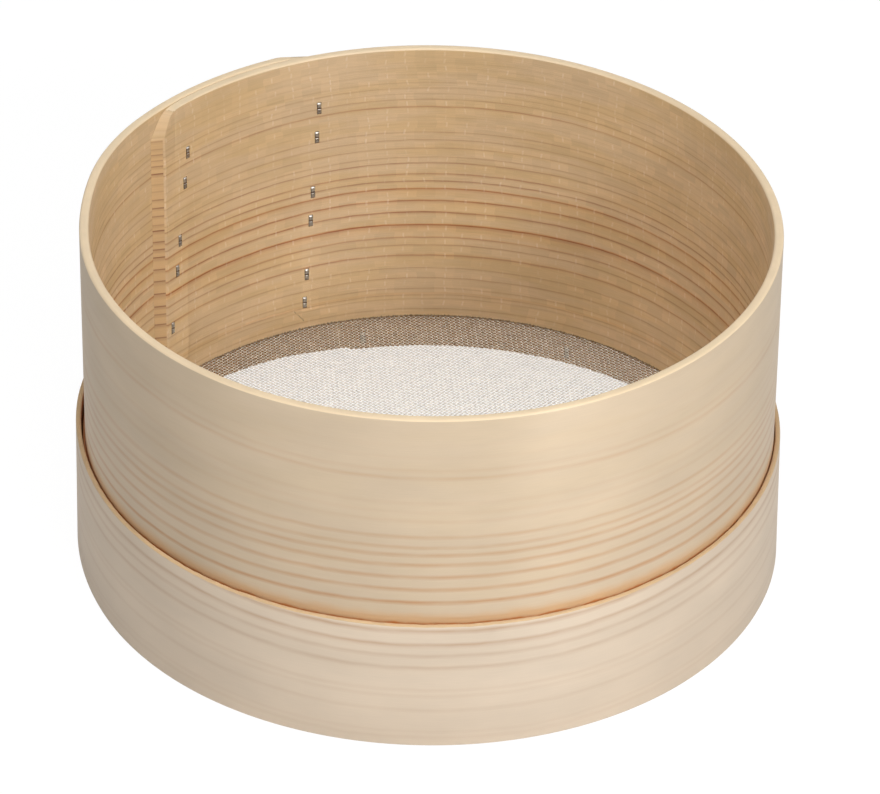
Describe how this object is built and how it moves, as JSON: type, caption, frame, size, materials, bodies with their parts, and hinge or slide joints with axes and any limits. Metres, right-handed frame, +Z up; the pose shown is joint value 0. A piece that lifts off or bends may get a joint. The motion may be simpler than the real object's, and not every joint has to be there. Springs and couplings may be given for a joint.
{
  "type": "tamis drum sieve",
  "caption": "Bentwood drum sieve: a tall lapped and stapled hoop stands on fine wire cloth, whose edge a low outer hoop clamps; open above, shallow recess below.",
  "frame": {"origin": "centre of the drum, level with the clamp hoop's lower edge, which the sieve stands on", "axes": "+Z up along the drum's axis; the drum hoop's lap lies at the back left, towards -X and +Y"},
  "size_m": [0.2265, 0.2271, 0.1193],
  "materials": {
    "drum_wood": "bare sanded bentwood strip, satin",
    "clamp_wood": "bare sanded bentwood strip, satin, paler than the drum",
    "cloth_wire": "plain-woven bright steel wire",
    "staple_wire": "flat drawn wire, slightly dull"
  },
  "bodies": {
    "root": {"drum_hoop": "drum_wood", "clamp_hoop": "clamp_wood", "wire_cloth": "cloth_wire", "cloth_edge": "cloth_wire", "lap_staple_01": "staple_wire", "lap_staple_02": "staple_wire", "lap_staple_03": "staple_wire", "lap_staple_04": "staple_wire", "lap_staple_05": "staple_wire", "lap_staple_06": "staple_wire", "lap_staple_07": "staple_wire", "lap_staple_08": "staple_wire", "lap_staple_09": "staple_wire", "lap_staple_10": "staple_wire", "lap_staple_11": "staple_wire", "lap_staple_12": "staple_wire", "clamp_staple_1": "staple_wire", "clamp_staple_2": "staple_wire", "clamp_staple_3": "staple_wire", "clamp_staple_4": "staple_wire", "clamp_staple_5": "staple_wire", "clamp_staple_6": "staple_wire"}
  },
  "joints": []
}
